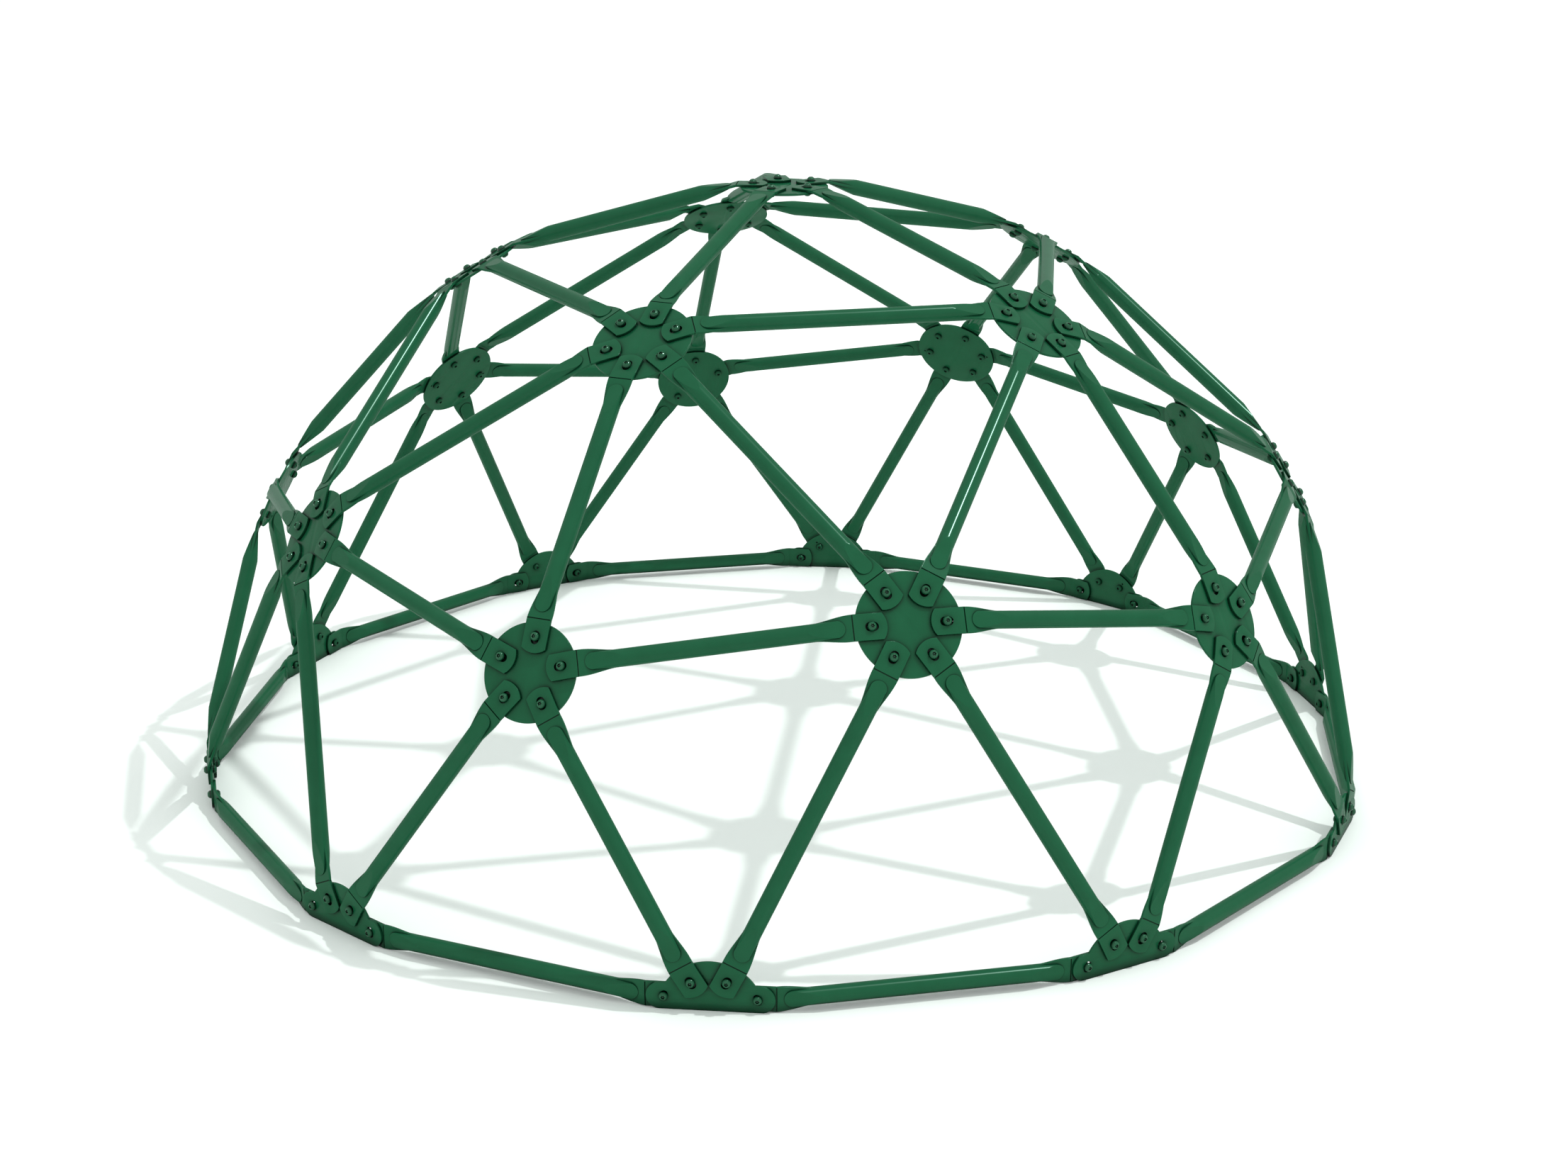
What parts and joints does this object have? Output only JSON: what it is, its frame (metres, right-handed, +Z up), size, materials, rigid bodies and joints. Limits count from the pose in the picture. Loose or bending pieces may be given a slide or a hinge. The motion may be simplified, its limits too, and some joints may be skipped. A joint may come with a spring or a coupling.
{
  "type": "dome climber",
  "caption": "Geodesic half-dome climbing frame for a playground: round tubes with flattened, bent ends bolted to round hub plates and standing on flat-edged base plates.",
  "frame": {"origin": "centre of the dome on the ground plane, level with the lower edges of the base plates", "axes": "+Z up through the apex hub; -Y towards the middle-ring five-way hub at the front; the frame is its own mirror image in the YZ plane"},
  "size_m": [3.0872, 3.0158, 1.5436],
  "materials": {
    "green_powder_coat_tube": "semi-gloss dark green powder coat on steel tube",
    "green_powder_coat_plate": "semi-gloss dark green powder coat on steel plate",
    "green_coated_fasteners": "dark green coated steel, slightly glossier on the domes"
  },
  "bodies": {
    "root": {"apex_bolts": "green_coated_fasteners", "apex_hub_plate": "green_powder_coat_plate", "apex_nuts": "green_coated_fasteners", "base_bolts": "green_coated_fasteners", "base_nuts": "green_coated_fasteners", "base_plates_left": "green_powder_coat_plate", "base_plates_right": "green_powder_coat_plate", "base_ring_struts_1": "green_powder_coat_tube", "base_ring_struts_2": "green_powder_coat_tube", "base_ring_struts_3": "green_powder_coat_tube", "base_ring_struts_4": "green_powder_coat_tube", "base_ring_struts_5": "green_powder_coat_tube", "crown_strut_1": "green_powder_coat_tube", "crown_strut_2": "green_powder_coat_tube", "crown_strut_3": "green_powder_coat_tube", "crown_strut_4": "green_powder_coat_tube", "crown_strut_5": "green_powder_coat_tube", "five_way_hub_plates": "green_powder_coat_plate", "lower_long_struts_1": "green_powder_coat_tube", "lower_long_struts_2": "green_powder_coat_tube", "lower_long_struts_3": "green_powder_coat_tube", "lower_long_struts_4": "green_powder_coat_tube", "lower_long_struts_5": "green_powder_coat_tube", "lower_short_struts_1": "green_powder_coat_tube", "lower_short_struts_2": "green_powder_coat_tube", "lower_short_struts_3": "green_powder_coat_tube", "lower_short_struts_4": "green_powder_coat_tube", "lower_short_struts_5": "green_powder_coat_tube", "middle_bolts": "green_coated_fasteners", "middle_nuts": "green_coated_fasteners", "middle_ring_struts_1": "green_powder_coat_tube", "middle_ring_struts_2": "green_powder_coat_tube", "middle_ring_struts_3": "green_powder_coat_tube", "middle_ring_struts_4": "green_powder_coat_tube", "middle_ring_struts_5": "green_powder_coat_tube", "six_way_hub_plates": "green_powder_coat_plate", "upper_bolts": "green_coated_fasteners", "upper_brace_struts_1": "green_powder_coat_tube", "upper_brace_struts_2": "green_powder_coat_tube", "upper_brace_struts_3": "green_powder_coat_tube", "upper_brace_struts_4": "green_powder_coat_tube", "upper_brace_struts_5": "green_powder_coat_tube", "upper_hub_plates": "green_powder_coat_plate", "upper_nuts": "green_coated_fasteners", "upper_rib_strut_1": "green_powder_coat_tube", "upper_rib_strut_2": "green_powder_coat_tube", "upper_rib_strut_3": "green_powder_coat_tube", "upper_rib_strut_4": "green_powder_coat_tube", "upper_rib_strut_5": "green_powder_coat_tube", "upper_ring_strut_1": "green_powder_coat_tube", "upper_ring_strut_2": "green_powder_coat_tube", "upper_ring_strut_3": "green_powder_coat_tube", "upper_ring_strut_4": "green_powder_coat_tube", "upper_ring_strut_5": "green_powder_coat_tube"}
  },
  "joints": []
}
